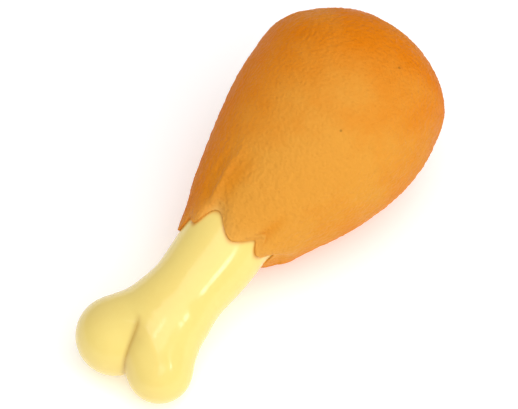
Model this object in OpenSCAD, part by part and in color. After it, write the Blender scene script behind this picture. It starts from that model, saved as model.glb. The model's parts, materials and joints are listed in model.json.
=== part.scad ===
// A hollow vinyl chicken drumstick: a clown's and juggler's prop that squeaks when it is squeezed.
// Shapes are drawn along their own long axis u, from the knuckles at u = 0 to the squeaker's face,
// then laid down so that both knuckles and the belly touch z = 0.
// Angles round the axis run from the near side (-Y) at 0, over the top at 90, to the far side at 180.

/* [Whole drumstick] */
// Length along the axis, from the knuckles to the squeaker's face (mm)
total_length = 185; // [175:1:195]
// Rise of the axis towards the blunt end as the drumstick lies (degrees)
lean = 10; // [8:0.5:12]
// Segments round every soft shape
segments = 40; // [32:4:60]

/* [Meat] */
// Greatest half-width of the meat (mm)
meat_radius = 42.8; // [40:0.2:45]
// Height of the meat's section as a share of its width
meat_flatness = 0.96; // [0.9:0.01:1]
// Thickness of the vinyl of the meat (mm)
meat_wall = 2.4; // [2:0.1:3]
// Half-width of the meat at its ragged hem (mm)
hem_radius = 18.4; // [18:0.1:19]

/* [Bone] */
// Radius of the bone at its waist (mm)
neck_radius = 16.3; // [15.8:0.1:16.5]
// Thickness of the vinyl of the bone (mm)
bone_wall = 2.2; // [1.8:0.1:2.6]
// Radius of the large knuckle (mm)
large_knuckle = 16.3; // [15:0.1:17]
// Radius of the small knuckle (mm)
small_knuckle = 13; // [12:0.1:14]

/* [Squeaker] */
// Radius of the round flange that shows in the blunt end (mm)
flange_radius = 13; // [12:0.1:13.5]
// Radius of the air hole in the middle of the flange (mm)
air_hole_radius = 2; // [1:0.1:2.5]
// Length of the reed (mm)
reed_length = 11; // [9:0.5:11]
// Width of the reed (mm)
reed_width = 4.2; // [3.5:0.1:4.6]

/* [Hidden] */

orange = [0.88, 0.56, 0.16];
yellow = [0.99, 0.92, 0.50];
white = [0.95, 0.95, 0.93];
film = [0.85, 0.88, 0.90];

// Places along the axis are shares of total_length
belly_place = 0.8;
bone_end = 0.5;
hem_place = 0.378;
hem_join = 0.5;

// Share of the way from the hem's half-width to the greatest half-width
swell = [[0.3, 0], [0.34, 0.01], [0.378, 0.045], [0.416, 0.15], [0.46, 0.31], [0.514, 0.475],
         [0.584, 0.69], [0.66, 0.86], [0.735, 0.97], [0.8, 1]];
// Roundness of the blunt end: 2 is an ellipse, more is squarer
blunt_power = 2.14;

// Sideways bow of the axis (mm), as the soft casting sags
bow_points = [[0.1, -0.4], [0.22, -1], [0.335, -0.4], [0.41, 1.2], [0.46, 1.1], [0.53, 0.4], [0.6, -0.2],
              [0.68, 0], [0.77, 0.5], [0.855, 1.7], [0.93, -0.6], [1, -0.6]];

// Ragged hem: angle round the neck, and reach of its edge from hem_place (mm, minus is towards the bone)
hem_points = [[-60, 3], [-42, 0], [-30, 3], [-11, 10], [0, 7.5], [10, 4], [22, 2], [30, 3.2], [36, 5.8], [43, 4],
              [50, 1.5], [64, -1.5], [77, 0.2], [84, 2.5], [92, 4.8], [101, 4.8], [107, 3], [114, -1],
              [120, -3.6], [127, -3.2], [134, -1.7], [144, -5.3], [155, -7.5], [168, -4], [180, 2], [190, 4],
              [204, -1], [216, -4], [228, 1], [240, 5], [252, 2], [266, -3], [282, -1], [292, 2.5], [300, 3]];

// Shaft of the bone: radius over that of its waist (mm), up to the collar bead that the neck grips
shaft_points = [[0.2, 0.4], [0.23, 0.1], [0.27, 0], [0.3, 0.15], [0.34, 0.8], [0.38, 1.5], [0.425, 2],
                [0.455, 4.2], [0.48, 3.6], [0.5, 2.8]];
// Steps of the soft flare from the shaft into each knuckle
flare_steps = 4;
flare_place = 0.225;
flare_waist = 1.6;
web_place = 0.42;
web_sink = 0.3;
open_end = 0.01;
knuckle_place = 0.087;
large_knuckle_side = 11.8;
small_knuckle_side = -9.8;

// The section flattens from flat_start over flat_blend (shares), and is round again near the seat (mm)
flat_start = 0.4;
flat_blend = 0.2;
round_seat = 5;
round_blend = 12;

// Gap between the bone and the neck of the meat, and between parts that slip together
neck_gap = 0.2;
slip_gap = 0.1;

// Seat in the blunt end, and the squeaker that snaps into it
seat_radius = 9.6;
seat_rim = 14.2;
seat_lip = 2.2;
flange_thickness = 1.7;
flange_round = 0.7;
bead_radius = 11;
bead_length = 1.7;
barrel_radius = 9.9;
barrel_bore = 8.2;
barrel_length = 14;
lead_in = 3;
cap_plug = 3;
cap_rim = 1.2;
tube_radius = 2.95;
channel_radius = 1.8;
tube_length = 14.5;
tube_tip = 1.6;
reed_thickness = 0.2;
reed_gap = 0.05;
wedge_slope = 5;
wedge_length = 3.4;
round_fn = 64;

// Distances along the axis (mm)
belly_u = belly_place * total_length;
bone_end_u = bone_end * total_length;
hem_join_u = hem_join * total_length;
seat_u = total_length - flange_thickness - slip_gap;
barrel_end_u = seat_u - seat_lip - bead_length - barrel_length;
reed_root_u = barrel_end_u;

// Smooth curve through [place, value] points, read at place p
function slope(pts, i) = let (a = max(i - 1, 0), b = min(i + 1, len(pts) - 1))
    (pts[b][1] - pts[a][1]) / (pts[b][0] - pts[a][0]);
function span(pts, p, i = 0) = (i >= len(pts) - 2 || p <= pts[i + 1][0]) ? i : span(pts, p, i + 1);
function curve(pts, p) =
    let (i = span(pts, p), a = pts[i], b = pts[i + 1], h = b[0] - a[0], t = (p - a[0]) / h)
    (2 * t ^ 3 - 3 * t ^ 2 + 1) * a[1] + (t ^ 3 - 2 * t ^ 2 + t) * slope(pts, i) * h
    + (3 * t ^ 2 - 2 * t ^ 3) * b[1] + (t ^ 3 - t ^ 2) * slope(pts, i + 1) * h;

function bow(u) = curve(bow_points, u / total_length);
function ramp(t) = min(max(t, 0), 1);
function flatness(u) = 1 - (1 - meat_flatness) * ramp((u / total_length - flat_start) / flat_blend)
    * ramp((seat_u - round_seat - u) / round_blend);
function hem_u(angle) = hem_place * total_length + curve(hem_points, angle > 300 ? angle - 360 : angle);

// Half-widths along the axis; swollen() holds up to the belly, blunt() from there to the end
function swollen(u) = hem_radius + (meat_radius - hem_radius) * curve(swell, u / total_length);
function shaft(u) = neck_radius + curve(shaft_points, u / total_length);
function blunt(turn, length, radius) =
    [belly_u + length * sin(turn) ^ (2 / blunt_power), radius * cos(turn) ^ (2 / blunt_power)];
function swollen_inside(u) =
    let (rise = swollen(u + 0.5) - swollen(u - 0.5))
    max(swollen(u) - meat_wall * sqrt(1 + rise * rise), shaft(min(u, bone_end_u)) + neck_gap);

// One ring of points round the axis
function ring_point(u, r, angle) = [u, bow(u) - r * cos(angle), r * sin(angle) * flatness(u)];
function angles() = [for (i = [0 : segments - 1]) i * 360 / segments];
function ring(u, r) = [for (a = angles()) ring_point(u, r, a)];

// Rings of the neck slide from the ragged hem to the plain ring at hem_join
function neck_ring(share, inside) = [for (a = angles())
    let (u = hem_u(a) + share * (hem_join_u - hem_u(a)))
    ring_point(u, inside ? swollen_inside(u) : swollen(u), a)];

neck_shares = [0, 0.04, 0.12, 0.25, 0.4, 0.6, 0.8];
neck_shares_inside = [0, 0.15, 0.35, 0.6];
body_places = [0.5, 0.54, 0.59, 0.64, 0.69, 0.74, 0.78];
body_places_inside = [0.5, 0.6, 0.7];
blunt_turns = [8, 20, 32, 43, 53, 61, 67.5];
blunt_turns_inside = [0, 25, 45, 60];
blunt_length = total_length - belly_u;

outer_rings = concat(
    [for (s = neck_shares) neck_ring(s, false)],
    [for (p = body_places) ring(p * total_length, swollen(p * total_length))],
    [for (t = blunt_turns) let (q = blunt(t, blunt_length, meat_radius)) ring(q[0], q[1])],
    [ring(seat_u, seat_rim), ring(seat_u, seat_radius)]);
inner_rings = concat(
    [for (s = neck_shares_inside) neck_ring(s, true)],
    [for (p = body_places_inside) ring(p * total_length, swollen_inside(p * total_length))],
    [for (t = blunt_turns_inside) let (q = blunt(t, blunt_length - meat_wall, meat_radius - meat_wall))
        ring(q[0], q[1])],
    [ring(seat_u - seat_lip, seat_rim), ring(seat_u - seat_lip, seat_radius)]);

// The belly's lowest point sets the height of the axis, and both knuckles are lowered to the same floor
lowest_belly = min([for (r = outer_rings, q = r) q[0] * sin(lean) + q[2] * cos(lean)]);
knuckle_u = knuckle_place * total_length;
function knuckle_drop(radius) = (lowest_belly + radius - knuckle_u * sin(lean)) / cos(lean);
large_at = [knuckle_u, large_knuckle_side, knuckle_drop(large_knuckle)];
small_at = [knuckle_u, small_knuckle_side, knuckle_drop(small_knuckle)];
flare_root = [flare_place * total_length, bow(flare_place * total_length), 0];

// Middle of the whole drumstick, seen from above
function laid_x(q) = q[0] * cos(lean) - q[2] * sin(lean);
first_x = min(laid_x(large_at) - large_knuckle, laid_x(small_at) - small_knuckle);
last_x = laid_x([total_length - flange_round, 0, -flange_radius]);
sides = [for (r = outer_rings, q = r) q[1]];
middle = [(first_x + last_x) / 2, (min(sides) + max(sides)) / 2];

module lie() {
    translate([-middle[0], -middle[1], -lowest_belly]) rotate([0, -lean, 0]) children();
}

// Turns a shape drawn up Z to lie along the axis, with its base at u; the bow moves it to the skin's middle
module along(u) {
    translate([u, bow(total_length), 0]) rotate([0, 90, 0]) children();
}

// Skin between rings of equal length; a closed skin joins its last ring to its first
function skin_faces(count, n, closed) = [
    for (k = [0 : count - (closed ? 1 : 2)], i = [0 : n - 1])
        let (a = k * n + i, b = k * n + (i + 1) % n, c = ((k + 1) % count) * n + i,
             d = ((k + 1) % count) * n + (i + 1) % n)
        each [[a, b, c], [b, d, c]]];

module closed_skin(rings) {
    polyhedron([for (r = rings) each r], skin_faces(len(rings), segments, true), convexity = 6);
}

function reversed(list) = [for (i = [len(list) - 1 : -1 : 0]) list[i]];

module solid_of_rings(rings) {
    last = len(rings) * segments;
    first_middle = [rings[0][0][0], bow(rings[0][0][0]), 0];
    last_ring = rings[len(rings) - 1];
    last_middle = [last_ring[0][0], bow(last_ring[0][0]), 0];
    caps = [for (i = [0 : segments - 1]) each [
        [last, (i + 1) % segments, i],
        [last + 1, last - segments + i, last - segments + (i + 1) % segments]]];
    polyhedron(concat([for (r = rings) each r], [first_middle, last_middle]),
        concat(skin_faces(len(rings), segments, false), caps), convexity = 4);
}

module shaft_solid(inset, from, to, steps) {
    solid_of_rings([for (k = [0 : steps]) let (u = (from + (to - from) * k / steps) * total_length)
        ring(u, shaft(min(u, bone_end_u)) - inset)]);
}

// Spheres along the flare that runs from a knuckle (t = 0) into the shaft (t = 1)
function flare_centre(at, t) = at + (flare_root - at) * t;
function flare_size(radius, t) =
    radius + (shaft(flare_root[0]) - radius) * t - flare_waist * sin(180 * t) * (1 - t);

module flare_ball(at, radius, inset, t) {
    translate(flare_centre(at, t)) sphere(flare_size(radius, t) - inset, $fn = 32);
}

module knuckle(at, radius, inset, steps) {
    for (k = [0 : steps - 1]) hull() {
        flare_ball(at, radius, inset, k / steps);
        flare_ball(at, radius, inset, (k + 1) / steps);
    }
}

// Web that fills the fork, so that the crease between the knuckles is short
module web() {
    hull() {
        flare_ball(large_at, large_knuckle, web_sink, web_place);
        flare_ball(small_at, small_knuckle, web_sink, web_place);
        flare_ball(large_at, large_knuckle, web_sink, 0.9);
    }
}

module meat_skin() {
    color(orange) lie() closed_skin(concat(outer_rings, reversed(inner_rings)));
}

module bone() {
    color(yellow) lie() difference() {
        union() {
            shaft_solid(0, flare_place, bone_end, 18);
            knuckle(large_at, large_knuckle, 0, flare_steps);
            knuckle(small_at, small_knuckle, 0, flare_steps);
            web();
        }
        shaft_solid(bone_wall, flare_place, bone_end + open_end, 12);
        knuckle(large_at, large_knuckle, bone_wall, 2);
        knuckle(small_at, small_knuckle, bone_wall, 2);
    }
}

// Outline of the squeaker case from its inner end up: barrel, snap bead, groove for the lip, flange
module case_outline() {
    bead_u = barrel_length;
    groove_u = bead_u + bead_length - slip_gap;
    top_u = total_length - barrel_end_u;
    polygon([[0, 0], [barrel_radius, 0], [barrel_radius, bead_u - lead_in], [bead_radius, bead_u],
        [bead_radius, groove_u], [seat_radius - slip_gap, groove_u],
        [seat_radius - slip_gap, top_u - flange_thickness], [flange_radius, top_u - flange_thickness],
        [flange_radius, top_u - flange_round], [flange_radius - flange_round, top_u], [0, top_u]]);
}

module squeaker_case() {
    chamber = total_length - barrel_end_u - flange_thickness;
    color(white) lie() along(barrel_end_u) difference() {
        rotate_extrude($fn = round_fn) case_outline();
        translate([0, 0, -1]) cylinder(r = barrel_bore, h = chamber + 1, $fn = round_fn);
        cylinder(r = air_hole_radius, h = chamber + flange_thickness + 1, $fn = round_fn);
    }
}

module squeaker_cap() {
    color(white) lie() along(barrel_end_u - cap_rim) difference() {
        union() {
            cylinder(r = barrel_radius, h = cap_rim, $fn = round_fn);
            cylinder(r = barrel_bore - slip_gap, h = cap_rim + cap_plug, $fn = round_fn);
        }
        translate([0, 0, -1]) cylinder(r = tube_radius + reed_gap, h = cap_rim + cap_plug + 2, $fn = round_fn);
    }
}

// Half-round trough under the reed, open to the inside of the toy and closed at its tip
module reed_tube() {
    color(white) lie() along(barrel_end_u - cap_rim) difference() {
        cylinder(r = tube_radius, h = tube_length, $fn = round_fn);
        translate([-2 * tube_radius, -tube_radius - 1, -1])
            cube([2 * tube_radius, 2 * tube_radius + 2, tube_length + 2]);
        translate([0, 0, -1]) cylinder(r = channel_radius, h = tube_length - tube_tip + 1, $fn = round_fn);
    }
}

// Half-round wedge that holds the reed's root; its underside slopes away so that the reed can lift
module reed_wedge() {
    root_height = reed_gap * 2 + reed_thickness;
    rise = wedge_length * tan(wedge_slope);
    color(white) lie() along(reed_root_u) intersection() {
        cylinder(r = tube_radius, h = wedge_length, $fn = round_fn);
        translate([0, tube_radius + 1, 0]) rotate([90, 0, 0]) linear_extrude(2 * tube_radius + 2)
            polygon([[-root_height, 0], [-root_height - rise, wedge_length],
                [-tube_radius - 1, wedge_length], [-tube_radius - 1, 0]]);
    }
}

module reed() {
    color(film) lie() along(reed_root_u) translate([-reed_gap - reed_thickness, -reed_width / 2, 0])
        cube([reed_thickness, reed_width, reed_length]);
}

meat_skin();
bone();
squeaker_case();
squeaker_cap();
reed_tube();
reed_wedge();
reed();
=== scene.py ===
"""A squeaky vinyl chicken drumstick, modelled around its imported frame.

Shapes are modelled straight, along their own long axis: X runs from the knuckles to the squeaker,
Y across and Z up. Each finished piece is then laid down into the frame. Lengths are in metres.
"""

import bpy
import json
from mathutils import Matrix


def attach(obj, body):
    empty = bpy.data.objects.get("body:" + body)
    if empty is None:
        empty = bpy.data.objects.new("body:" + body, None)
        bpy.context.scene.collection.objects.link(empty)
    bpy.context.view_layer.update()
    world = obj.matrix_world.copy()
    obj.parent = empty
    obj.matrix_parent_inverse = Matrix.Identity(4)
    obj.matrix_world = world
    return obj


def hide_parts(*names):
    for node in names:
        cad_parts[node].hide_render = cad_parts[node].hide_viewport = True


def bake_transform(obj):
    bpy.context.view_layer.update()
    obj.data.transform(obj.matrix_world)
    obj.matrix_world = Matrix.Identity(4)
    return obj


bl_info = {
    "name": "Vinyl Drumstick",
    "version": (1, 0, 0),
    "blender": (4, 5, 0),
    "location": "3D View > Sidebar > Drumstick",
    "description": "Models a squeaky vinyl chicken drumstick round its packed frame",
    "category": "Add Mesh",
}

import json
import math

import bpy
import numpy as np
from mathutils import Matrix, Vector

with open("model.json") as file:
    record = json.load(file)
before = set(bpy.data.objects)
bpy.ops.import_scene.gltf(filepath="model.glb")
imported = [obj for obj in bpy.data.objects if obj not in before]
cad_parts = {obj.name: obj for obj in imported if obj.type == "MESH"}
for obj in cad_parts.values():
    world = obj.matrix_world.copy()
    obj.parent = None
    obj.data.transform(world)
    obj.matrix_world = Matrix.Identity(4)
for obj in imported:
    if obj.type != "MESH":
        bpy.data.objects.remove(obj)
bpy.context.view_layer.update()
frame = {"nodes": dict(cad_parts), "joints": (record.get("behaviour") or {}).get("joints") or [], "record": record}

MM = 0.001

# What the frame says: the squeaker slides along the drumstick's own axis, into its blunt end
MOUNTS = {mount["name"]: mount for mount in frame["record"]["mounts"]}
PRESS = next(joint for joint in frame["joints"] if joint["name"] == "end_press")
AXIS = -Vector(PRESS["axis"]).normalized()
ACROSS = Vector((0, 1, 0))
UPWARD = AXIS.cross(ACROSS)
AIR_HOLE = MOUNTS["air_hole"]
AIR_HOLE_RADIUS = AIR_HOLE["dims"]["r_mm"] * MM
FLANGE_THICKNESS = AIR_HOLE["dims"]["length_mm"] * MM
FACE = Vector(AIR_HOLE["pos_m"]) + AXIS * FLANGE_THICKNESS / 2

# Sideways bow of the axis (mm) against the share of the length
BOW = ((0.1, -0.4), (0.22, -1), (0.335, -0.4), (0.41, 1.2), (0.46, 1.1), (0.53, 0.4), (0.6, -0.2),
       (0.68, 0), (0.77, 0.5), (0.855, 1.7), (0.93, -0.6), (1, -0.6))
# Share of the way from the hem's half-width to the greatest half-width
SWELL = ((0.3, 0), (0.34, 0.01), (0.378, 0.045), (0.416, 0.15), (0.46, 0.31), (0.514, 0.475),
         (0.584, 0.69), (0.66, 0.86), (0.735, 0.97), (0.8, 1))
# Ragged hem: angle round the neck, and reach of its edge (mm)
HEM = ((-60, 3), (-46, 4.5), (-30, 7.5), (-11, 10), (0, 7.5), (10, 4), (22, 2), (30, 3.2), (36, 5.8), (43, 4),
       (50, 1.5), (64, -1.5), (77, 0.2), (84, 2.5), (92, 4.8), (101, 4.8), (107, 3), (114, -1),
       (120, -3.6), (127, -3.2), (134, -1.7), (144, -5.3), (155, -7.5), (168, -4), (180, 2), (190, 4),
       (204, -1), (216, -4), (228, 1), (240, 5), (252, 2), (266, -3), (282, -1), (292, 1.5), (300, 3))
# Puffy lobes of the hem: angle, place along the axis (mm), half-width round the neck (mm)
PUFFS = ((120, 70.5, 3), (62, 73.5, 4.2), (20, 76.5, 3), (155, 67, 4), (216, 70, 4), (266, 71, 4.5),
         (310, 77, 3.5))
# Shaft of the bone: radius over that of its waist (mm), up to the collar bead inside the meat
SHAFT = ((0.2, 0.4), (0.23, 0.1), (0.27, 0), (0.3, 0.15), (0.34, 0.8), (0.38, 1.5), (0.425, 2),
         (0.455, 4.2), (0.48, 3.6), (0.5, 2.8))
# Knuckle end of the bone, as tapered limbs between two balls: place, sideways, height, radius (mm)
LARGE_LIMB = ((16.2, 11.2, -3.5, 15.8), (35, 2, -1.5, 11.5))
SMALL_LIMBS = (((15.8, -11.1, -6.4, 12.4), (19.5, -5.4, -3.6, 12.6)),
               ((19.5, -5.4, -3.6, 12.6), (32, -3.5, -0.8, 13.3)),
               ((15.8, -11.1, -6.4, 12.4), (32, -5.5, -0.8, 11.8)))
WEB = (31.5, 1.5, -2.8, 11.2)
# Where the shaft starts, and how deep, up to where and over what length it tapers to the knuckles (mm)
SHAFT_START = 20
TAPER_DEPTH, TAPER_END, TAPER_LENGTH = 4.4, 58, 26
# Specks in the paint: place along the axis (mm), angle, inner and outer radius (mm)
SPECKS = ((160.6, 56, 0.35, 0.8), (124.5, 60, 0.3, 0.7))

HEM_PLACE = 0.378
HEM_JOIN = 0.5
BELLY_PLACE = 0.8
BLUNT_POWER = 2.14
FLAT_START = 0.4
FLAT_BLEND = 0.2
SEAT_RADIUS = 9.6 * MM
SEAT_RIM = 14.2 * MM
SEAT_LIP = 2.2 * MM
SLIP_GAP = 0.1 * MM
LIP_THICKNESS = 0.9 * MM
LIP_REACH = 3 * MM
COLLAR_TRIM = 0.3 * MM
COLLAR_WALL = 2.2 * MM
COLLAR_BORE = 30 * MM
CURVE_STEPS = 400
SLOPE_STEP = 0.1

# Stage: softboxes as name, direction from the drumstick and side (m)
SOFTBOXES = (("key", (-0.15, -0.35, 0.92), 1.0), ("side", (0.02, -0.83, 0.55), 0.16),
             ("glint", (-0.36, -0.32, 0.87), 0.12))
SOFTBOX_DISTANCE = 0.9
LIT_POINT = Vector((0, 0, 0.03))
BRIGHT_SIDE = (0.12, -0.93, 0.35)
CAMERA_PIVOT = 100 * MM


def curve(points, place):
    """Smooth curve through (place, value) points, read at place."""
    last = len(points) - 1
    i = 0
    while i < last - 1 and place > points[i + 1][0]:
        i += 1

    def slope(k):
        a, b = points[max(k - 1, 0)], points[min(k + 1, last)]
        return (b[1] - a[1]) / (b[0] - a[0])

    (x0, y0), (x1, y1) = points[i], points[i + 1]
    h = x1 - x0
    t = (place - x0) / h
    rise = (2 * t**3 - 3 * t**2 + 1) * y0 + (3 * t**2 - 2 * t**3) * y1
    return rise + (t**3 - 2 * t**2 + t) * slope(i) * h + (t**3 - t**2) * slope(i + 1) * h


def ramp(value):
    return min(max(value, 0.0), 1.0)


class Form:
    """The drumstick's straight form, worked out from its driving sizes."""

    def __init__(self, sizes):
        self.length = sizes.length
        self.meat = sizes.meat_radius
        self.hem = sizes.hem_radius
        self.neck = sizes.neck_radius
        self.flatness_share = sizes.flatness
        self.wall = sizes.wall
        self.belly = BELLY_PLACE * self.length
        self.join = HEM_JOIN * self.length
        self.seat = self.length - FLANGE_THICKNESS - SLIP_GAP
        origin = FACE - AXIS * self.length - ACROSS * self.bow(self.length)
        turned = Matrix((AXIS, ACROSS, UPWARD)).transposed().to_4x4()
        self.lay = Matrix.Translation(origin) @ turned

    def bow(self, u):
        return curve(BOW, u / self.length) * MM

    def flatness(self, u):
        start = ramp((u / self.length - FLAT_START) / FLAT_BLEND)
        end = ramp((self.seat - 5 * MM - u) / (12 * MM))
        return 1 - (1 - self.flatness_share) * start * end

    def hem_u(self, angle):
        angle = angle % 360
        return HEM_PLACE * self.length + curve(HEM, angle - 360 if angle > 300 else angle) * MM

    def swollen(self, u):
        return self.hem + (self.meat - self.hem) * curve(SWELL, u / self.length)

    def hugging(self, u, edge):
        """Half-width of the meat at u where its hem, whose edge is at edge, hugs the bone."""
        gap = max(self.swollen(edge) - self.shaft(edge) - LIP_THICKNESS, 0)
        return self.swollen(u) - gap * math.exp(-(((u - edge) / LIP_REACH) ** 2))

    def shaft(self, u):
        return self.neck + curve(SHAFT, min(u / self.length, HEM_JOIN)) * MM

    def blunt(self, turn, inset):
        """Place and half-width on the blunt end, at turn degrees from the belly to the pole."""
        reach = math.sin(math.radians(turn)) ** (2 / BLUNT_POWER)
        width = math.cos(math.radians(turn)) ** (2 / BLUNT_POWER)
        return self.belly + (self.length - self.belly - inset) * reach, (self.meat - inset) * width


def curve_over(points, places):
    """curve() read at many places, through a fine table."""
    steps = np.linspace(points[0][0], points[-1][0], CURVE_STEPS)
    return np.interp(places, steps, [curve(points, step) for step in steps])


def merge(a, b, width):
    """Joins two distance fields with a fillet about as wide as width."""
    share = np.clip(0.5 + 0.5 * (b - a) / width, 0, 1)
    return b * (1 - share) + a * share - width * share * (1 - share)


def limb_distance(co, ends):
    """Distance (mm) from a limb that tapers softly from one ball to the other."""
    (*first, r0), (*second, r1) = ends
    first, second = np.array(first, float), np.array(second, float)
    span = second - first
    share = np.clip((co - first) @ span / (span @ span), 0, 1)
    away = np.linalg.norm(co - first - share[:, None] * span, axis=1)
    return away - r0 - (r1 - r0) * share**2 * (3 - 2 * share)


def knuckle_distances(co):
    """Distances (mm) from the large knuckle's limb and from the small one's."""
    inner, top, outer = (limb_distance(co, ends) for ends in SMALL_LIMBS)
    return limb_distance(co, LARGE_LIMB), merge(merge(inner, top, 2), outer, 2)


def bone_distance(co, form):
    """Distance (mm) of points from the bone's surface: knuckles, web and waist, joined with fillets."""
    u = co[:, 0]
    place = u * MM / form.length
    radius = form.neck / MM + curve_over(SHAFT, np.clip(place, SHAFT[0][0], SHAFT[-1][0]))
    radius -= TAPER_DEPTH * np.clip((TAPER_END - u) / TAPER_LENGTH, 0, 1) ** 2
    shaft = 0.97 * (np.hypot(co[:, 1] - curve_over(BOW, place), co[:, 2]) - radius)
    shaft = -merge(-shaft, u - SHAFT_START, 4)
    web = np.linalg.norm(co - np.array(WEB[:3]), axis=1) - WEB[3]
    large, small = knuckle_distances(co)
    spread = np.clip((u - 21) / 8, 0, 1)
    knuckles = merge(large, small, 0.8 + 7 * spread**2 * (3 - 2 * spread))
    return merge(knuckles, merge(web, shaft, 10), 9)


# ---------------------------------------------------------------- modelling helpers


def only(obj):
    """Makes obj the one selected and active object."""
    if bpy.context.mode != "OBJECT":
        bpy.ops.object.mode_set(mode="OBJECT")
    bpy.ops.object.select_all(action="DESELECT")
    obj.select_set(True)
    bpy.context.view_layer.objects.active = obj


def named(name):
    """Names the object that was just added."""
    obj = bpy.context.active_object
    obj.name = name
    obj.data.name = name
    return obj


def extrude_rings(name, rings, segments):
    """A tube through rings of (u, v, w, half-width, half-height): a circle, extruded and resized."""
    bpy.ops.object.select_all(action="DESELECT")
    u, v, w, wide, high = rings[0]
    bpy.ops.mesh.primitive_circle_add(
        vertices=segments, radius=1, location=(u, v, w), rotation=(math.pi / 2, 0, math.pi / 2))
    bpy.ops.object.transform_apply(location=True, rotation=True, scale=True)
    obj = named(name)
    bpy.ops.object.mode_set(mode="EDIT")
    bpy.ops.mesh.select_all(action="SELECT")
    bpy.ops.transform.resize(value=(1, wide, high), center_override=(u, v, w))
    for before, after in zip(rings, rings[1:]):
        step = [b - a for a, b in zip(before[:3], after[:3])]
        bpy.ops.mesh.extrude_region_move(TRANSFORM_OT_translate={"value": step})
        bpy.ops.transform.resize(
            value=(1, after[3] / before[3], after[4] / before[4]), center_override=after[:3])
    bpy.ops.object.mode_set(mode="OBJECT")
    return obj


def select_rims(obj):
    """Selects the open edges of obj, in edit mode."""
    only(obj)
    bpy.ops.object.mode_set(mode="EDIT")
    bpy.ops.mesh.select_mode(type="EDGE")
    bpy.ops.mesh.select_all(action="DESELECT")
    bpy.ops.mesh.select_non_manifold(extend=False)


def face_outwards(obj):
    only(obj)
    bpy.ops.object.mode_set(mode="EDIT")
    bpy.ops.mesh.select_all(action="SELECT")
    bpy.ops.mesh.normals_make_consistent(inside=False)
    bpy.ops.object.mode_set(mode="OBJECT")


def apply_modifier(obj, name, kind, **settings):
    """Adds a modifier with its settings and applies it."""
    only(obj)
    modifier = obj.modifiers.new(name, kind)
    for key, value in settings.items():
        setattr(modifier, key, value)
    bpy.ops.object.modifier_apply(modifier=modifier.name)


def coordinates(obj):
    co = np.zeros(len(obj.data.vertices) * 3, np.float32)
    obj.data.vertices.foreach_get("co", co)
    return co.reshape(-1, 3).astype(float)


def set_coordinates(obj, co):
    obj.data.vertices.foreach_set("co", co.astype(np.float32).ravel())
    obj.data.update()


def weigh(obj, name, weights):
    """A vertex group whose weights follow an array."""
    group = obj.vertex_groups.new(name=name)
    for index in np.nonzero(weights > 0.003)[0]:
        group.add([int(index)], float(min(weights[index], 1.0)), "REPLACE")
    return name


def store(obj, name, values):
    attribute = obj.data.attributes.new(name, "FLOAT", "POINT")
    attribute.data.foreach_set("value", np.asarray(values, np.float32))


def angles_of(co, form):
    """Angle round the axis of each point: 0 at the near side, 90 on top, 180 at the far side."""
    bow = np.array([form.bow(u) for u in co[:, 0]])
    return np.degrees(np.arctan2(co[:, 2], bow - co[:, 1])) % 360


def hem_reach(co, form):
    """How far each point is past the ragged hem, towards the blunt end (m)."""
    table = np.array([form.hem_u(a) for a in range(361)])
    return co[:, 0] - np.interp(angles_of(co, form), np.arange(361), table)


def lay_down(obj, form):
    """Turns and moves the straight piece to where the frame has it, and keeps the place in its mesh."""
    only(obj)
    obj.matrix_world = form.lay
    bpy.ops.object.transform_apply(location=True, rotation=True, scale=True)


# ---------------------------------------------------------------- materials


def node(tree, kind, **settings):
    made = tree.nodes.new(kind)
    for key, value in settings.items():
        setattr(made, key, value)
    return made


def new_group(name, inputs, outputs):
    """A shader node group with named sockets: (name, socket type, default) in, (name, socket type) out."""
    group = bpy.data.node_groups.new(name, "ShaderNodeTree")
    for label, kind, default in inputs:
        socket = group.interface.new_socket(label, in_out="INPUT", socket_type=kind)
        if default is not None:
            socket.default_value = default
    for label, kind in outputs:
        group.interface.new_socket(label, in_out="OUTPUT", socket_type=kind)
    return group, node(group, "NodeGroupInput").outputs, node(group, "NodeGroupOutput").inputs


def mix_colours(tree, factor, first, second):
    """first where factor is 0, second where it is 1. Each is a socket or a plain value."""
    mixer = node(tree, "ShaderNodeMix", data_type="RGBA")
    for index, value in ((0, factor), (6, first), (7, second)):
        if isinstance(value, bpy.types.NodeSocket):
            tree.links.new(value, mixer.inputs[index])
        else:
            mixer.inputs[index].default_value = value
    return mixer.outputs[2]


def maths(tree, operation, first, second=0.0, clamp=False):
    maker = node(tree, "ShaderNodeMath", operation=operation, use_clamp=clamp)
    for index, value in ((0, first), (1, second)):
        if isinstance(value, bpy.types.NodeSocket):
            tree.links.new(value, maker.inputs[index])
        else:
            maker.inputs[index].default_value = value
    return maker.outputs[0]


def fade(tree, value, start, end):
    """Smooth mask: 0 at start and 1 at end, which may be the smaller number."""
    ranger = node(tree, "ShaderNodeMapRange", interpolation_type="SMOOTHSTEP")
    tree.links.new(value, ranger.inputs["Value"])
    ranger.inputs["From Min"].default_value = start
    ranger.inputs["From Max"].default_value = end
    return ranger.outputs["Result"]


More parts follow.
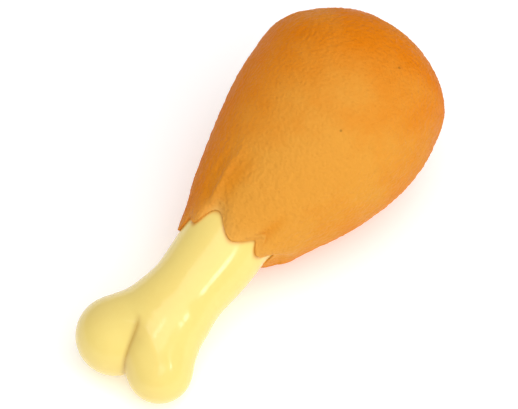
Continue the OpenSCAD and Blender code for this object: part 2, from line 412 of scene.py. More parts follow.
def mottle_group():
    """Uneven paint: large soft clouds and a fine grain between two colours."""
    group, given, out = new_group(
        "mottled_paint",
        [("Vector", "NodeSocketVector", None), ("Deep", "NodeSocketColor", None),
         ("Light", "NodeSocketColor", None), ("Shift", "NodeSocketFloat", 0.0),
         ("Contrast", "NodeSocketFloat", 0.8),
         ("Cloud Scale", "NodeSocketFloat", 40.0), ("Grain Scale", "NodeSocketFloat", 900.0)],
        [("Color", "NodeSocketColor")])
    cloud = node(group, "ShaderNodeTexNoise")
    grain = node(group, "ShaderNodeTexNoise")
    for texture, scale in ((cloud, "Cloud Scale"), (grain, "Grain Scale")):
        group.links.new(given["Vector"], texture.inputs["Vector"])
        group.links.new(given[scale], texture.inputs["Scale"])
        texture.inputs["Detail"].default_value = 3.0
    soft = maths(group, "MULTIPLY", cloud.outputs["Fac"], given["Contrast"])
    fine = maths(group, "MULTIPLY", grain.outputs["Fac"], 0.25)
    both = maths(group, "ADD", maths(group, "ADD", soft, fine), given["Shift"], clamp=True)
    group.links.new(mix_colours(group, both, given["Deep"], given["Light"]), out["Color"])
    return group


def handling_group():
    """Roughness that varies as on vinyl that has been handled: smoother patches and faint dust."""
    group, given, out = new_group(
        "handled_surface",
        [("Vector", "NodeSocketVector", None), ("Smooth", "NodeSocketFloat", 0.3),
         ("Rough", "NodeSocketFloat", 0.5), ("Scale", "NodeSocketFloat", 60.0)],
        [("Roughness", "NodeSocketFloat")])
    patch = node(group, "ShaderNodeTexNoise")
    group.links.new(given["Vector"], patch.inputs["Vector"])
    group.links.new(given["Scale"], patch.inputs["Scale"])
    patch.inputs["Detail"].default_value = 5.0
    mask = fade(group, patch.outputs["Fac"], 0.35, 0.65)
    span = maths(group, "SUBTRACT", given["Rough"], given["Smooth"])
    rise = maths(group, "MULTIPLY", span, mask)
    group.links.new(maths(group, "ADD", rise, given["Smooth"]), out["Roughness"])
    return group


def grain_group():
    """Fine moulded grain: small soft pebbles over a finer tooth."""
    group, given, out = new_group(
        "moulded_grain",
        [("Vector", "NodeSocketVector", None), ("Pebble Scale", "NodeSocketFloat", 900.0),
         ("Tooth Scale", "NodeSocketFloat", 2500.0), ("Tooth", "NodeSocketFloat", 0.3)],
        [("Height", "NodeSocketFloat")])
    pebbles = node(group, "ShaderNodeTexVoronoi", feature="SMOOTH_F1")
    tooth = node(group, "ShaderNodeTexNoise")
    group.links.new(given["Vector"], pebbles.inputs["Vector"])
    group.links.new(given["Pebble Scale"], pebbles.inputs["Scale"])
    group.links.new(given["Vector"], tooth.inputs["Vector"])
    group.links.new(given["Tooth Scale"], tooth.inputs["Scale"])
    domes = maths(group, "SUBTRACT", 1.0, pebbles.outputs["Distance"])
    fine = maths(group, "MULTIPLY", tooth.outputs["Fac"], given["Tooth"])
    group.links.new(maths(group, "ADD", domes, fine), out["Height"])
    return group


GROUPS = {}


def shared_group(name):
    """One of the shared effects, built the first time that it is asked for."""
    makers = {"mottle": mottle_group, "handling": handling_group, "grain": grain_group}
    if name not in GROUPS:
        GROUPS[name] = makers[name]()
    return GROUPS[name]


def place_group(tree, name, coords, **values):
    """A shared effect in a material's tree, with its own values."""
    placed = node(tree, "ShaderNodeGroup", node_tree=shared_group(name))
    tree.links.new(coords, placed.inputs["Vector"])
    for label, value in values.items():
        socket = placed.inputs[label.replace("_", " ")]
        if isinstance(value, bpy.types.NodeSocket):
            tree.links.new(value, socket)
        else:
            socket.default_value = value
    return placed


def new_material(name):
    """A material with its Principled shader and the object's own coordinates."""
    material = bpy.data.materials.new(name)
    material.use_nodes = True
    tree = material.node_tree
    shader = tree.nodes["Principled BSDF"]
    coords = node(tree, "ShaderNodeTexCoord").outputs["Object"]
    return material, tree, shader, coords


def add_bump(tree, shader, height, distance, strength=1.0):
    bump = node(tree, "ShaderNodeBump")
    bump.inputs["Strength"].default_value = strength
    bump.inputs["Distance"].default_value = distance
    tree.links.new(height, bump.inputs["Height"])
    tree.links.new(bump.outputs["Normal"], shader.inputs["Normal"])


def near(tree, coords, point, inner, outer):
    """Mask: 1 within inner of a point, fading to 0 at outer."""
    distance = node(tree, "ShaderNodeVectorMath", operation="DISTANCE")
    tree.links.new(coords, distance.inputs[0])
    distance.inputs[1].default_value = point
    return fade(tree, distance.outputs["Value"], outer, inner)


def attribute(tree, name):
    return node(tree, "ShaderNodeAttribute", attribute_name=name).outputs["Fac"]


def colour(rgb):
    return (*rgb, 1.0)


def meat_material(paint, form):
    """Satin orange paint on pebbled vinyl, with painted light: lighter on the side that faces the lights, deeper
    where it turns away and in the creases, which is painted shade.
    """
    material, tree, shader, coords = new_material("pebbled_orange_vinyl")
    # The crown mask shifts the orange towards the light colour where the lights fall: painted light.
    shift = maths(tree, "MULTIPLY", attribute(tree, "crown"), 0.95)
    tone = place_group(tree, "mottle", coords, Deep=colour(paint.meat_deep), Light=colour(paint.meat_light),
                       Shift=maths(tree, "SUBTRACT", shift, 0.64), Contrast=1.2, Cloud_Scale=55.0,
                       Grain_Scale=700.0)
    # Deeper orange in the meat's creases: painted shade.
    creased = mix_colours(tree, attribute(tree, "crease"), tone.outputs["Color"], colour(paint.meat_crease_shade))
    lipped = mix_colours(tree, attribute(tree, "lip"), creased, colour(paint.lip))
    first, second = (near(tree, coords, on_meat(form, place, angle), inner * MM, outer * MM)
                     for place, angle, inner, outer in SPECKS)
    specks = maths(tree, "MAXIMUM", first, second)
    tree.links.new(mix_colours(tree, maths(tree, "MULTIPLY", specks, 0.45), lipped, colour(paint.speck)),
                   shader.inputs["Base Color"])
    surface = place_group(tree, "handling", coords, Smooth=0.42, Rough=0.54, Scale=70.0)
    tree.links.new(surface.outputs["Roughness"], shader.inputs["Roughness"])
    shader.inputs["Specular IOR Level"].default_value = 0.06
    grain = place_group(tree, "grain", coords, Pebble_Scale=800.0, Tooth_Scale=2400.0, Tooth=0.35)
    add_bump(tree, shader, grain.outputs["Height"], 0.5 * MM, 1.0)
    return material


def bone_material(paint):
    """Glossy butter-yellow vinyl with orange overspray along the hem that is also painted shade under the meat's
    lip, painted shade between the knuckles and a faint painted shade on the large knuckle.
    """
    material, tree, shader, coords = new_material("glossy_yellow_vinyl")
    tone = place_group(tree, "mottle", coords, Deep=colour(paint.bone_deep), Light=colour(paint.bone_light),
                       Shift=0.1, Cloud_Scale=35.0, Grain_Scale=500.0)
    # Darker paint between the knuckles: painted shade.
    creased = mix_colours(tree, attribute(tree, "crease"), tone.outputs["Color"], colour(paint.bone_crease_shade))
    # Orange overspray along the hem, deepened to stand for painted shade under the meat's lip.
    sprayed_and_shaded = mix_colours(tree, attribute(tree, "overspray"), creased, colour(paint.overspray))
    # A faint darker patch on the large knuckle's upper far side: painted shade.
    shadow = maths(tree, "MULTIPLY", attribute(tree, "smudge"), 0.12)
    tree.links.new(mix_colours(tree, shadow, sprayed_and_shaded, colour(paint.smudge)), shader.inputs["Base Color"])
    surface = place_group(tree, "handling", coords, Smooth=0.13, Rough=0.19, Scale=50.0)
    tree.links.new(surface.outputs["Roughness"], shader.inputs["Roughness"])
    grain = place_group(tree, "grain", coords, Pebble_Scale=160.0, Tooth_Scale=900.0, Tooth=0.08)
    add_bump(tree, shader, grain.outputs["Height"], 0.06 * MM, 0.35)
    return material


def plastic_material(paint):
    """Milky white moulded plastic, a little yellowed and scuffed."""
    material, tree, shader, coords = new_material("milky_white_plastic")
    tone = place_group(tree, "mottle", coords, Deep=colour(paint.plastic_deep),
                       Light=colour(paint.plastic_light), Cloud_Scale=120.0, Grain_Scale=1500.0)
    tree.links.new(tone.outputs["Color"], shader.inputs["Base Color"])
    surface = place_group(tree, "handling", coords, Smooth=0.32, Rough=0.5, Scale=220.0)
    tree.links.new(surface.outputs["Roughness"], shader.inputs["Roughness"])
    grain = place_group(tree, "grain", coords, Pebble_Scale=2200.0, Tooth_Scale=4000.0, Tooth=0.5)
    add_bump(tree, shader, grain.outputs["Height"], 0.02 * MM, 0.5)
    return material


def film_material(paint):
    """Thin springy film with drawing lines along it."""
    material, tree, shader, coords = new_material("springy_film")
    tone = place_group(tree, "mottle", coords, Deep=colour(paint.film_deep), Light=colour(paint.film_light),
                       Cloud_Scale=300.0, Grain_Scale=3000.0)
    tree.links.new(tone.outputs["Color"], shader.inputs["Base Color"])
    surface = place_group(tree, "handling", coords, Smooth=0.12, Rough=0.25, Scale=400.0)
    tree.links.new(surface.outputs["Roughness"], shader.inputs["Roughness"])
    grain = place_group(tree, "grain", coords, Pebble_Scale=3000.0, Tooth_Scale=5000.0, Tooth=0.6)
    add_bump(tree, shader, grain.outputs["Height"], 0.005 * MM, 0.4)
    return material


def floor_material(paint, glow):
    """Plain white paper with a trace of fibre, lit from below as on a light table."""
    material, tree, shader, coords = new_material("white_paper")
    tone = place_group(tree, "mottle", coords, Deep=colour(paint.floor_deep), Light=colour(paint.floor_light),
                       Cloud_Scale=3.0, Grain_Scale=60.0)
    tree.links.new(tone.outputs["Color"], shader.inputs["Base Color"])
    shader.inputs["Roughness"].default_value = 0.9
    shader.inputs["Specular IOR Level"].default_value = 0.0
    shader.inputs["Emission Color"].default_value = (1, 1, 1, 1)
    shader.inputs["Emission Strength"].default_value = glow
    return material


# ---------------------------------------------------------------- pieces


def on_meat(form, millimetres, angle):
    """The point of the laid-down meat at a place along the axis and an angle round it."""
    u = millimetres * MM
    if u < form.belly:
        r = form.swollen(u)
    else:
        reach = (u - form.belly) / (form.length - form.belly)
        r = form.blunt(math.degrees(math.asin(reach ** (BLUNT_POWER / 2))), 0)[1]
    turn = math.radians(angle)
    return form.lay @ Vector((u, form.bow(u) - r * math.cos(turn), r * math.sin(turn) * form.flatness(u)))


def meat_rings(form):
    """Rings of the meat's skin: outside from the hem to the seat, then back along the inside."""
    hem = HEM_PLACE * form.length
    outside = [hem + share * (form.join - hem) for share in (0, 0.015, 0.04, 0.08, 0.14, 0.2, 0.27, 0.34)]
    outside += list(np.linspace(outside[-1], form.join, 5)[1:])
    outside += list(np.linspace(form.join, form.belly, 18)[1:])
    rings = [(u, form.swollen(u)) for u in outside]
    rings += [form.blunt(turn, 0) for turn in (5, 11, 17, 23, 29, 35, 40, 45, 50, 54, 58, 62, 66)]
    rings += [(form.seat, SEAT_RIM), (form.seat, SEAT_RADIUS + 1.6 * MM), (form.seat, SEAT_RADIUS + 0.4 * MM)]
    rings += [(form.seat - 0.4 * MM, SEAT_RADIUS), (form.seat - SEAT_LIP + 0.4 * MM, SEAT_RADIUS)]
    rings += [(form.seat - SEAT_LIP, SEAT_RADIUS + 0.4 * MM), (form.seat - SEAT_LIP, SEAT_RIM)]
    rings += [form.blunt(turn, form.wall) for turn in (56, 40, 18)]
    rings += [(u, form.swollen(u) - form.wall) for u in np.linspace(form.belly - 6 * MM, form.join, 4)]
    rings += [(u, form.swollen(u) - 1.08 * form.wall) for u in (0.455 * form.length,)]
    inside = [hem + share * (form.join - hem) for share in (0.14, 0.05, 0.0)]
    rings += [(u, max(form.swollen(u) - form.wall, form.shaft(u) + 0.2 * MM)) for u in inside]
    return [(u, form.bow(u), 0.0, r, r * form.flatness(u)) for u, r in rings]


def cut_hem(obj, form):
    """Slides the neck's rings so that their edge follows the ragged hem, and keeps them on the skin."""
    co = coordinates(obj)
    hem = HEM_PLACE * form.length
    angles = angles_of(co, form)
    for i in np.nonzero(co[:, 0] < form.join - 0.01 * MM)[0]:
        u, angle = co[i, 0], angles[i]
        radius = math.hypot(co[i, 1] - form.bow(u), co[i, 2] / form.flatness(u))
        inner = radius < form.swollen(u) - 0.3 * MM
        share = (u - hem) / (form.join - hem)
        moved = form.hem_u(angle) + share * (form.join - form.hem_u(angle))
        radius = form.hugging(moved, form.hem_u(angle))
        if inner:
            wall = max(form.swollen(moved) - form.wall, form.shaft(moved))
            radius = min(wall, radius - 1.0 * MM)
        turn = math.radians(angle)
        co[i] = (moved, form.bow(moved) - radius * math.cos(turn),
                 radius * math.sin(turn) * form.flatness(moved))
    set_coordinates(obj, co)


def gaussian(distance, width):
    return np.exp(-0.5 * (distance / width) ** 2)


def skin_masks(obj, form):
    """Weights for the folds and the paint, measured on the skin."""
    co = coordinates(obj)
    angles = angles_of(co, form)
    reach = hem_reach(co, form)
    u = co[:, 0]
    bow = np.array([form.bow(x) for x in u])
    radius = np.hypot(co[:, 1] - bow, co[:, 2])
    swollen = np.array([form.swollen(min(x, form.belly)) for x in u])
    outside = (radius > swollen - 0.9 * MM) | (u > form.belly)

    def arc(angle):
        """Distance round the skin from a line at an angle (m)."""
        turn = (angles - angle + 180) % 360 - 180
        return np.radians(turn) * radius

    def along(start, full, empty, end):
        """1 between full and empty (mm along the axis), 0 before start and after end."""
        mm = u / MM
        return np.clip((mm - start) / (full - start), 0, 1) * np.clip((end - mm) / (end - empty), 0, 1)

    masks = {}
    ridge_line = 105.5 + np.sin((u / MM - 76) / 6)
    masks["ridge"] = gaussian(arc(ridge_line), 1.1 * MM) * along(72.5, 76, 90, 106) * outside
    valleys = (gaussian(arc(ridge_line + 10), 2.4 * MM) + gaussian(arc(ridge_line - 10), 2.6 * MM))
    masks["valleys"] = np.clip(valleys, 0, 1) * along(73, 79, 84, 104) * outside
    cleft_line = 37 + 0.3 * (u / MM - 76)
    masks["cleft"] = gaussian(arc(cleft_line), 1.7 * MM) * along(73, 76, 79, 90) * outside
    far_ridge = gaussian(arc(222 + 0.3 * (u / MM - 75)), 1.2 * MM) * along(70, 77, 86, 102)
    near_ridge = gaussian(arc(330 - 0.2 * (u / MM - 75)), 1.1 * MM) * along(70, 77, 84, 97)
    masks["folds"] = np.maximum(far_ridge, near_ridge) * outside
    puffs = sum(gaussian(arc(angle), wide * MM) * gaussian(u - place * MM, 3.4 * MM)
                for angle, place, wide in PUFFS)
    masks["puffs"] = np.clip(puffs, 0, 1) * outside
    masks["notch"] = gaussian(reach, 0.8 * MM) * np.clip(gaussian(arc(97), 2.4 * MM) + gaussian(
        arc(-6), 2.6 * MM) + gaussian(arc(205), 3 * MM), 0, 1)
    near_seat = np.clip((form.seat - u) / (4 * MM), 0, 1)
    masks["pebble"] = np.clip(reach / (14 * MM), 0.12, 1) * outside * near_seat
    # Painted light: lighter on the side that faces the lights (48 degrees round the axis) and near the hem.
    crown = np.clip(np.cos(np.radians(angles - 48)) + 0.04, 0, 1)
    fade_end = np.clip((168 - u / MM) / 45, 0, 1)
    masks["crown"] = crown**1.3 * (fade_end + 0.8 * gaussian(reach, 7 * MM))
    return masks, reach


def displace(obj, name, weights, height, texture=None, middle=0.0):
    """Raises the skin by height (m) where the weights are."""
    apply_modifier(obj, name, "DISPLACE", strength=height, mid_level=middle, texture=texture,
                   texture_coords="LOCAL", vertex_group=weigh(obj, name, weights))
    obj.vertex_groups.remove(obj.vertex_groups[name])


def pebble_texture(name, pitch):
    """Domed cells about a pitch apart, lowest in the creases between them."""
    texture = bpy.data.textures.new(name, "VORONOI")
    texture.noise_scale = pitch
    texture.distance_metric = "DISTANCE"
    texture.weight_1 = 1.0
    return texture


def soft_waves():
    """Broad unevenness of a soft casting."""
    texture = bpy.data.textures.new("waves", "CLOUDS")
    texture.noise_scale = 22 * MM
    texture.noise_depth = 1
    return texture


def build_meat(sizes, paint):
    form = Form(sizes)
    meat = extrude_rings("meat", meat_rings(form), sizes.segments)
    select_rims(meat)
    bpy.ops.mesh.bridge_edge_loops()
    bpy.ops.object.mode_set(mode="OBJECT")
    face_outwards(meat)
    cut_hem(meat, form)
    apply_modifier(meat, "rounding", "SUBSURF", levels=2, render_levels=2)
    masks, reach = skin_masks(meat, form)
    for name, height in (("ridge", 0.7), ("valleys", -0.5), ("cleft", -0.9), ("folds", 0.6), ("puffs", 0.4)):
        displace(meat, name, masks[name], height * MM)
    displace(meat, "waves", masks["pebble"], 0.5 * MM, soft_waves(), 0.5)
    displace(meat, "pebbles", masks["pebble"], -0.6 * MM, pebble_texture("pebbles", 2.2 * MM), 0.4)
    # Painted light on the side that faces the lights.
    store(meat, "crown", masks["crown"])
    # Painted shade in the cleft and in the valleys beside the ridge.
    store(meat, "crease", np.clip(masks["cleft"] * 0.7 + masks["valleys"] * 0.55, 0, 1))
    store(meat, "lip", np.clip(gaussian(reach, 3.5 * MM) * 0.35 + masks["notch"] * 0.7, 0, 1))
    lay_down(meat, form)
    meat.data.materials.append(meat_material(paint, form))
    bpy.ops.object.shade_smooth()
    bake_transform(meat)
    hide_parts("meat_skin")
    return meat


def bone_rings(form):
    """Rings of the bone's shaft, from inside its knuckles to the collar's end."""
    places = np.linspace(0.13 * form.length, HEM_JOIN * form.length, 34)
    return [(u, form.bow(u), 0.0, r, r) for u, r in ((u, min(form.shaft(u), 13 * MM + 0.4 * (u - 20 * MM)))
                                                     for u in places)]


def add_ball(u, v, w, radius):
    bpy.ops.object.select_all(action="DESELECT")
    bpy.ops.mesh.primitive_uv_sphere_add(
        segments=48, ring_count=24, radius=radius * MM, location=(u * MM, v * MM, w * MM))
    bpy.ops.object.transform_apply(location=True, rotation=True, scale=True)
    return named("ball")


def settle(obj, form):
    """Moves each point of the casting on to the bone's filleted form."""
    co = coordinates(obj) / MM
    for _ in range(5):
        here = bone_distance(co, form)
        ahead = [bone_distance(co + SLOPE_STEP * axis, form) for axis in np.eye(3)]
        slope = np.stack([(there - here) / SLOPE_STEP for there in ahead], axis=1)
        slope /= np.maximum((slope**2).sum(axis=1, keepdims=True), 0.2)
        co -= np.clip(here, -2, 2)[:, None] * slope * (co[:, 0] < 90)[:, None]
    set_coordinates(obj, co * MM)


def open_collar(bone, form):
    """Cuts the collar's end square, and sinks its bore by the thickness of the wall."""
    only(bone)
    bpy.ops.object.mode_set(mode="EDIT")
    bpy.ops.mesh.select_all(action="SELECT")
    end = form.join - COLLAR_TRIM
    bpy.ops.mesh.bisect(plane_co=(end, 0, 0), plane_no=(1, 0, 0), clear_outer=True, use_fill=True)
    bpy.ops.mesh.inset(thickness=COLLAR_WALL)
    bpy.ops.mesh.extrude_region_move(TRANSFORM_OT_translate={"value": (-COLLAR_BORE, 0, 0)})
    bpy.ops.transform.resize(value=(1, 0.82, 0.82), center_override=(end - COLLAR_BORE, form.bow(end), 0))
    bpy.ops.object.mode_set(mode="OBJECT")


def build_bone(sizes, paint):
    form = Form(sizes)
    bone = extrude_rings("bone_casting", bone_rings(form), 72)
    select_rims(bone)
    bpy.ops.mesh.edge_face_add()
    bpy.ops.object.mode_set(mode="OBJECT")
    face_outwards(bone)
    for ball in (*LARGE_LIMB, *SMALL_LIMBS[0], SMALL_LIMBS[1][1], WEB):
        add_ball(*ball)
        bone.select_set(True)
        bpy.context.view_layer.objects.active = bone
        bpy.ops.object.join()
    apply_modifier(bone, "casting", "REMESH", mode="VOXEL", voxel_size=sizes.bone_voxel)
    apply_modifier(bone, "flow", "SMOOTH", factor=0.5, iterations=10)
    settle(bone, form)
    apply_modifier(bone, "fillet", "SMOOTH", factor=0.5, iterations=2)
    open_collar(bone, form)
    co = coordinates(bone)
    reach = -hem_reach(co, form)
    u, side, height = (co / MM).T
    large, small = knuckle_distances(co / MM)
    apart = large - small
    # Painted shade in the crease between the knuckles, wider on the small knuckle's side.
    shade = 0.6 * gaussian(apart, 0.7) + 0.3 * gaussian(np.maximum(apart, 0), 3.5) * (apart > 0)
    store(bone, "crease", shade * np.clip((25 - u) / 4, 0, 1))
    # Orange overspray along the hem, which is also painted shade under the meat's lip.
    store(bone, "overspray", gaussian(np.maximum(reach, 0), 0.9 * MM) * 0.75)
    # Painted shade on the large knuckle's upper far side.
    store(bone, "smudge", gaussian(u - 15.8, 5) * gaussian(side - 17.5, 5) * gaussian(height - 11, 5))
    lay_down(bone, form)
    bone.data.materials.append(bone_material(paint))
    bpy.ops.object.shade_smooth()
    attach(bone, "drumstick")
    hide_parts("bone")
    return bone


def squeaker_outline(top, seat):
    """Closed outline of the case, as (u, radius), from the chamber's mouth round the flange and back."""
    bore, barrel, snap, flange = 8.2 * MM, 9.9 * MM, 11 * MM, 13 * MM
    groove = SEAT_RADIUS - SLIP_GAP
    under, rim, dish = top - FLANGE_THICKNESS, top - 0.25 * MM, top - 0.6 * MM
    bead_top = seat - SEAT_LIP - SLIP_GAP
    bead = bead_top - 1.6 * MM
    mouth = bead - 14 * MM
    return [(mouth, bore), (mouth, barrel), (bead - 3 * MM, barrel), (bead, snap), (bead_top, snap),
            (bead_top, groove), (under, groove), (under, flange), (top - 0.7 * MM, flange),
            (rim, flange - 0.55 * MM), (rim, flange - 2.6 * MM), (dish, flange - 3 * MM), (dish, 4.6 * MM),
            (top, 4.2 * MM), (top, AIR_HOLE_RADIUS), (under, AIR_HOLE_RADIUS), (under, bore), (mouth, bore)]


def build_squeaker(sizes, paint):
    """The squeaker's case: one outline spun round the axis, with rounded moulded edges and the air hole."""
    form = Form(sizes)
    axis_v = form.bow(form.length)
    outline = squeaker_outline(form.length, form.seat)
    bpy.ops.object.select_all(action="DESELECT")
    bpy.ops.mesh.primitive_plane_add(size=1)
    case = named("squeaker_plug")
    bpy.ops.object.mode_set(mode="EDIT")
    bpy.ops.mesh.select_mode(type="VERT")
    bpy.ops.mesh.select_all(action="SELECT")
    bpy.ops.mesh.merge(type="CENTER")
    start = Vector((outline[0][0], axis_v, outline[0][1]))
    bpy.ops.transform.translate(value=start)
    for (u0, r0), (u1, r1) in zip(outline, outline[1:]):
        bpy.ops.mesh.extrude_vertices_move(TRANSFORM_OT_translate={"value": (u1 - u0, 0, r1 - r0)})
    bpy.ops.mesh.select_all(action="SELECT")
    bpy.ops.mesh.spin(steps=96, angle=2 * math.pi, center=(0, axis_v, 0), axis=(1, 0, 0))
    bpy.ops.mesh.select_all(action="SELECT")
    bpy.ops.mesh.remove_doubles(threshold=0.005 * MM)
    bpy.ops.mesh.normals_make_consistent(inside=False)
    bpy.ops.object.mode_set(mode="OBJECT")
    apply_modifier(case, "edges", "BEVEL", width=0.18 * MM, segments=3, limit_method="ANGLE",
                   angle_limit=math.radians(35))
    lay_down(case, form)
    case.data.materials.append(plastic_material(paint))
    bpy.ops.object.shade_smooth_by_angle(angle=math.radians(40))
    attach(case, "squeaker")
    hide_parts("squeaker_case")
    return case


def finish_inner_parts(paint):
    """Finishes for the squeaker's inner parts, whose CAD shapes are kept."""
    white, film = bpy.data.materials["milky_white_plastic"], film_material(paint)
    for name in ("squeaker_cap", "reed_tube", "reed_wedge", "reed"):
        part = frame["nodes"][name]
        part.data.materials.clear()
        part.data.materials.append(film if name == "reed" else white)


# ---------------------------------------------------------------- stage


def camera_axes(view):
    azimuth, elevation = view.azimuth, view.elevation
    away = Vector((-math.sin(azimuth), math.cos(azimuth), 0))
    forward = away * math.cos(elevation) - Vector((0, 0, 1)) * math.sin(elevation)
    right = Vector((math.cos(azimuth), math.sin(azimuth), 0))
    return forward, right, right.cross(forward)


def add_camera(view, form):
    forward, right, up = camera_axes(view)
    pivot = form.lay @ Vector((CAMERA_PIVOT, 0, 0))
    target = pivot + right * view.aim_right + up * view.aim_up
    camera = bpy.data.objects.new("camera", bpy.data.cameras.new("camera"))
    bpy.context.scene.collection.objects.link(camera)
    camera.data.sensor_width = 36
    camera.data.lens = view.lens
    camera.data.clip_start = 0.01
    camera.location = pivot - forward * view.distance
    camera.rotation_euler = (target - camera.location).to_track_quat("-Z", "Y").to_euler()
    bpy.context.scene.camera = camera


def add_softbox(name, direction, size, power):
    """A square softbox that faces the drumstick's middle."""
    light = bpy.data.objects.new(name, bpy.data.lights.new(name, "AREA"))
    bpy.context.scene.collection.objects.link(light)
    light.data.size = size
    light.data.energy = power
    towards = Vector(direction).normalized()
    light.location = LIT_POINT + towards * SOFTBOX_DISTANCE
    light.rotation_euler = (-towards).to_track_quat("-Z", "Y").to_euler()


def studio_world(view):
    """Even white light that is stronger from the near side than from the far side."""
    world = bpy.data.worlds.new("studio")
    world.use_nodes = True
    tree = world.node_tree
    facing = node(tree, "ShaderNodeVectorMath", operation="DOT_PRODUCT")
    tree.links.new(node(tree, "ShaderNodeTexCoord").outputs["Generated"], facing.inputs[0])
    facing.inputs[1].default_value = BRIGHT_SIDE
    share = fade(tree, facing.outputs["Value"], -0.7, 0.7)
    strength = maths(tree, "MULTIPLY_ADD", share, view.near_fill - view.far_fill)
    strength.node.inputs[2].default_value = view.far_fill
    background = tree.nodes["Background"]
    background.inputs["Color"].default_value = (1, 1, 1, 1)
    tree.links.new(strength, background.inputs["Strength"])
    return world


def build_stage(view, paint, sizes):
    form = Form(sizes)
    add_camera(view, form)
    bpy.ops.object.select_all(action="DESELECT")
    bpy.ops.mesh.primitive_plane_add(size=4, location=(0, 0, 0))
    floor = named("floor")
    floor.data.materials.append(floor_material(paint, view.floor_glow))
    bpy.context.scene.world = studio_world(view)
    for name, direction, size in SOFTBOXES:
        add_softbox(name, direction, size, getattr(view, name))
    bpy.context.scene.view_settings.view_transform = "Standard"


# ---------------------------------------------------------------- settings, operators and panel


def length_property(name, default, description):
    return bpy.props.FloatProperty(
        name=name, default=default, description=description, min=0.0, subtype="DISTANCE", unit="LENGTH")


def colour_property(name, default, description):
    return bpy.props.FloatVectorProperty(
        name=name, default=default, description=description, size=3, min=0.0, max=1.0, subtype="COLOR")


class DrumstickSizes(bpy.types.PropertyGroup):
    length: length_property("Length", 185 * MM, "Along the axis, from the knuckles to the squeaker's face")
    meat_radius: length_property("Meat radius", 42.8 * MM, "Greatest half-width of the meat")
    hem_radius: length_property("Hem radius", 18.4 * MM, "Half-width of the meat at its ragged hem")
    neck_radius: length_property("Waist radius", 16.3 * MM, "Radius of the bone at its waist")
    wall: length_property("Wall", 2.4 * MM, "Thickness of the meat's vinyl")
    bone_voxel: length_property("Bone detail", 0.6 * MM, "Size of the bone's mesh cells")
    flatness: bpy.props.FloatProperty(
        name="Flatness", default=0.96, min=0.9, max=1.0, description="Height of the meat's section by width")
    segments: bpy.props.IntProperty(
        name="Segments", default=100, min=32, max=128, description="Sides of the meat before it is rounded")


class DrumstickPaint(bpy.types.PropertyGroup):
    # Meat orange: deep where the meat turns away from the lights (painted shade), light where it faces them
    # (painted light).
    meat_deep: colour_property("Meat, deep", (0.76, 0.21, 0.003), "Orange at the sides and ends")
    meat_light: colour_property("Meat, light", (0.78, 0.335, 0.042), "Orange over the crown")
    # Painted shade in the meat's creases.
    meat_crease_shade: colour_property("Meat, crease", (0.74, 0.235, 0.003), "Painted shade in the creases")
    lip: colour_property("Lip", (0.86, 0.45, 0.10), "Thin paint on the hem's lip")
    speck: colour_property("Speck", (0.15, 0.06, 0.01), "Tiny specks in the paint")
    bone_deep: colour_property("Bone, deep", (0.93, 0.67, 0.165), "Yellow of the bone, deeper clouds")
    bone_light: colour_property("Bone, light", (0.95, 0.76, 0.23), "Yellow of the bone, lighter clouds")
    # Painted shade between the knuckles.
    bone_crease_shade: colour_property("Bone, crease", (0.62, 0.38, 0.08), "Painted shade between the knuckles")
    # Overspray colour, which is also the painted shade under the meat's lip.
    overspray: colour_property("Overspray", (0.72, 0.33, 0.04), "Orange overspray and painted shade on the bone along the hem")
    # Painted shade on the large knuckle.
    smudge: colour_property("Knuckle shade", (0.62, 0.38, 0.14), "Painted shade on the large knuckle")
    plastic_deep: colour_property("Plastic, deep", (0.74, 0.73, 0.68), "White plastic, deeper clouds")
    plastic_light: colour_property("Plastic, light", (0.84, 0.84, 0.81), "White plastic, lighter clouds")
    film_deep: colour_property("Film, deep", (0.55, 0.60, 0.63), "Reed film, deeper streaks")
    film_light: colour_property("Film, light", (0.72, 0.76, 0.78), "Reed film, lighter streaks")
    floor_deep: colour_property("Floor, deep", (0.93, 0.93, 0.93), "White paper, deeper clouds")
    floor_light: colour_property("Floor, light", (0.96, 0.96, 0.96), "White paper, lighter clouds")


class DrumstickView(bpy.types.PropertyGroup):
    azimuth: bpy.props.FloatProperty(
        name="Azimuth", default=math.radians(-51.7), subtype="ANGLE", unit="ROTATION",
        description="Where the camera stands round the drumstick")
    elevation: bpy.props.FloatProperty(
        name="Elevation", default=math.radians(54), subtype="ANGLE", unit="ROTATION",
        description="How far above the horizon the camera stands")
    distance: length_property("Distance", 0.65, "From the camera to the drumstick's middle")
    aim_right: bpy.props.FloatProperty(
        name="Aim right", default=-4.3 * MM, subtype="DISTANCE", unit="LENGTH",
        description="How far to the right of the drumstick's middle the camera aims")
    aim_up: bpy.props.FloatProperty(
        name="Aim up", default=-5.5 * MM, subtype="DISTANCE", unit="LENGTH",
        description="How far above the drumstick's middle the camera aims")
    lens: bpy.props.FloatProperty(name="Lens", default=112.4, min=10, description="Focal length in mm")
    key: bpy.props.FloatProperty(
        name="Key light", default=5.2, min=0, unit="POWER", description="Power of the key softbox")
    side: bpy.props.FloatProperty(
        name="Side light", default=0.75, min=0, unit="POWER", description="Small softbox at the near side")
    glint: bpy.props.FloatProperty(
        name="Glint", default=0.15, min=0, unit="POWER", description="Small light over the knuckles")
    floor_glow: bpy.props.FloatProperty(
        name="Floor glow", default=0.26, min=0, description="Light that the floor gives off")
    near_fill: bpy.props.FloatProperty(
        name="Near fill", default=0.55, min=0, description="White light from the near side")
    far_fill: bpy.props.FloatProperty(
        name="Far fill", default=0.42, min=0, description="White light from the far side")


class DRUMSTICK_OT_stage(bpy.types.Operator):
    """Adds the camera, the white floor and the soft studio light"""

    bl_idname = "drumstick.stage"
    bl_label = "Stage"

    def execute(self, context):
        scene = context.scene
        build_stage(scene.drumstick_view, scene.drumstick_paint, scene.drumstick_sizes)
        return {"FINISHED"}


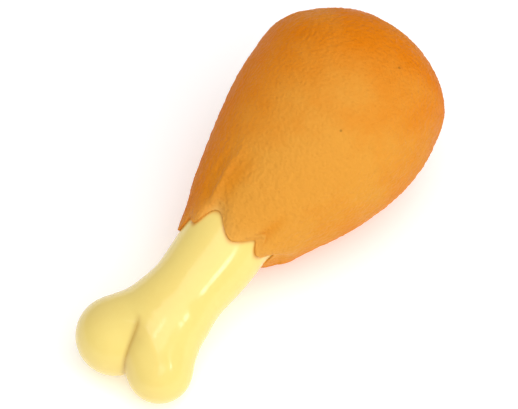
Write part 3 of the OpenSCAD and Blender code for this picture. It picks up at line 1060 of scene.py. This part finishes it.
class DRUMSTICK_OT_meat(bpy.types.Operator):
    """Models the pebbled meat with its ragged hem and the seat of the squeaker"""

    bl_idname = "drumstick.meat"
    bl_label = "Meat"

    def execute(self, context):
        build_meat(context.scene.drumstick_sizes, context.scene.drumstick_paint)
        return {"FINISHED"}


class DRUMSTICK_OT_bone(bpy.types.Operator):
    """Models the bone with its two knuckles, its waist and the collar inside the meat"""

    bl_idname = "drumstick.bone"
    bl_label = "Bone"

    def execute(self, context):
        build_bone(context.scene.drumstick_sizes, context.scene.drumstick_paint)
        return {"FINISHED"}


class DRUMSTICK_OT_squeaker(bpy.types.Operator):
    """Models the squeaker's case and finishes its inner parts"""

    bl_idname = "drumstick.squeaker"
    bl_label = "Squeaker"

    def execute(self, context):
        build_squeaker(context.scene.drumstick_sizes, context.scene.drumstick_paint)
        finish_inner_parts(context.scene.drumstick_paint)
        return {"FINISHED"}


OPERATORS = (DRUMSTICK_OT_stage, DRUMSTICK_OT_bone, DRUMSTICK_OT_meat, DRUMSTICK_OT_squeaker)


class DRUMSTICK_PT_panel(bpy.types.Panel):
    """Lists the drumstick's pieces in the order in which they are made"""

    bl_idname = "DRUMSTICK_PT_panel"
    bl_label = "Vinyl Drumstick"
    bl_space_type = "VIEW_3D"
    bl_region_type = "UI"
    bl_category = "Drumstick"

    def draw(self, context):
        for operator in OPERATORS:
            self.layout.operator(operator.bl_idname)


CLASSES = (DrumstickSizes, DrumstickPaint, DrumstickView, *OPERATORS, DRUMSTICK_PT_panel)


def register():
    for cls in CLASSES:
        bpy.utils.register_class(cls)
    bpy.types.Scene.drumstick_sizes = bpy.props.PointerProperty(type=DrumstickSizes)
    bpy.types.Scene.drumstick_paint = bpy.props.PointerProperty(type=DrumstickPaint)
    bpy.types.Scene.drumstick_view = bpy.props.PointerProperty(type=DrumstickView)


def unregister():
    for name in ("drumstick_sizes", "drumstick_paint", "drumstick_view"):
        delattr(bpy.types.Scene, name)
    for cls in reversed(CLASSES):
        bpy.utils.unregister_class(cls)


def main():
    register()
    bpy.ops.drumstick.stage()
    bpy.ops.drumstick.bone()
    bpy.ops.drumstick.meat()
    bpy.ops.drumstick.squeaker()


if __name__ == "__main__":
    main()
